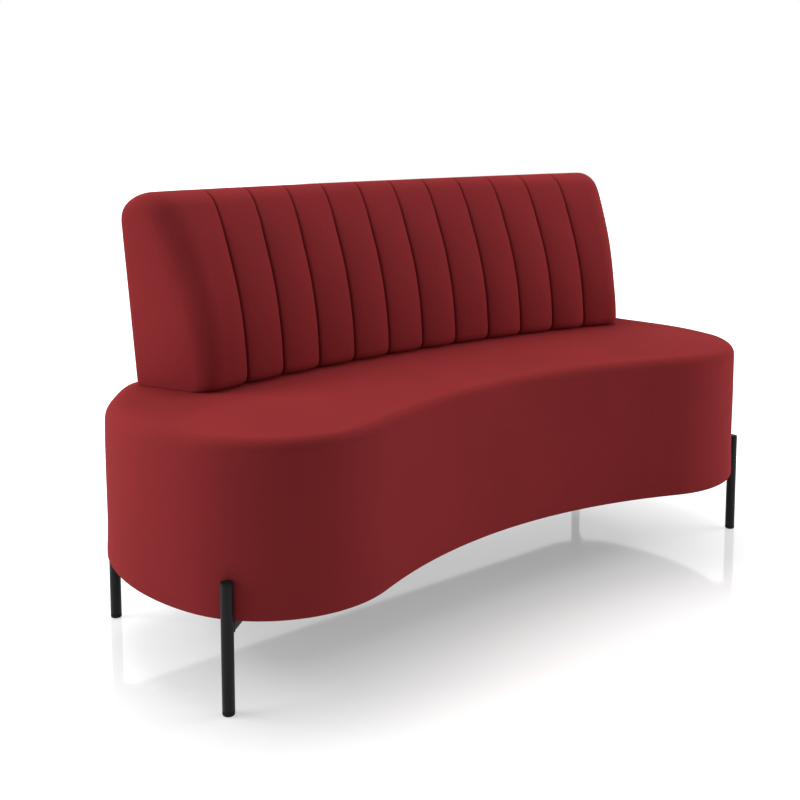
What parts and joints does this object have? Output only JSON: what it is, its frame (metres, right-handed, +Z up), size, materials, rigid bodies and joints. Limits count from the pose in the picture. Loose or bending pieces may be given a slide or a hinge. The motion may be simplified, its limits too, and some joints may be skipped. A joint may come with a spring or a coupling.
{
  "type": "two-seat sofa",
  "caption": "Curved upholstered loveseat: a bean-shaped padded base, a low hollow backrest sewn in upright channels, and slim tube legs outside the wall.",
  "frame": {"origin": "on the floor, in the middle of the sofa's footprint", "axes": "+X along the sofa to the right as seen from the front, +Y from the front to the back, +Z up"},
  "size_m": [1.427, 0.538, 0.801],
  "materials": {
    "wine_cloth": "matte",
    "foam": "matte",
    "plywood": "matte",
    "pine": "matte",
    "hardboard": "matte",
    "webbing": "matte",
    "dust_cloth": "matte",
    "black_steel": "matte",
    "black_plastic": "matte",
    "zinc_steel": "satin"
  },
  "bodies": {
    "root": {"leg_tube_front_left": "black_steel", "leg_arm_front_left": "black_steel", "leg_cap_front_left": "black_plastic", "leg_glide_front_left": "black_plastic", "arm_screw_front_left_1": "zinc_steel", "arm_screw_front_left_2": "zinc_steel", "leg_tube_front_right": "black_steel", "leg_arm_front_right": "black_steel", "leg_cap_front_right": "black_plastic", "leg_glide_front_right": "black_plastic", "arm_screw_front_right_1": "zinc_steel", "arm_screw_front_right_2": "zinc_steel", "leg_tube_back_left": "black_steel", "leg_arm_back_left": "black_steel", "leg_cap_back_left": "black_plastic", "leg_glide_back_left": "black_plastic", "arm_screw_back_left_1": "zinc_steel", "arm_screw_back_left_2": "zinc_steel", "leg_tube_back_right": "black_steel", "leg_arm_back_right": "black_steel", "leg_cap_back_right": "black_plastic", "leg_glide_back_right": "black_plastic", "arm_screw_back_right_1": "zinc_steel", "arm_screw_back_right_2": "zinc_steel", "floor_panel": "plywood", "dust_cloth": "dust_cloth", "seat_rim_front": "plywood", "seat_rim_right": "plywood", "seat_rim_back": "plywood", "seat_rim_left": "plywood", "stud_front_middle": "pine", "stud_front_right": "pine", "stud_end_right": "pine", "stud_back_right": "pine", "stud_front_left": "pine", "stud_end_left": "pine", "stud_back_left": "pine", "wall_board_front": "hardboard", "wall_foam_front": "foam", "wall_board_back": "hardboard", "wall_foam_back": "foam", "seat_webbing_1": "webbing", "seat_webbing_2": "webbing", "seat_webbing_3": "webbing", "seat_webbing_4": "webbing", "seat_webbing_5": "webbing", "seat_webbing_6": "webbing", "seat_foam": "foam", "seat_cover": "wine_cloth", "back_post_left": "pine", "post_bracket_left": "zinc_steel", "back_post_middle": "pine", "post_bracket_middle": "zinc_steel", "back_post_right": "pine", "post_bracket_right": "zinc_steel", "back_panel": "plywood", "back_foam": "foam", "back_quilted_cover": "wine_cloth", "back_rear_cloth": "wine_cloth"}
  },
  "joints": []
}
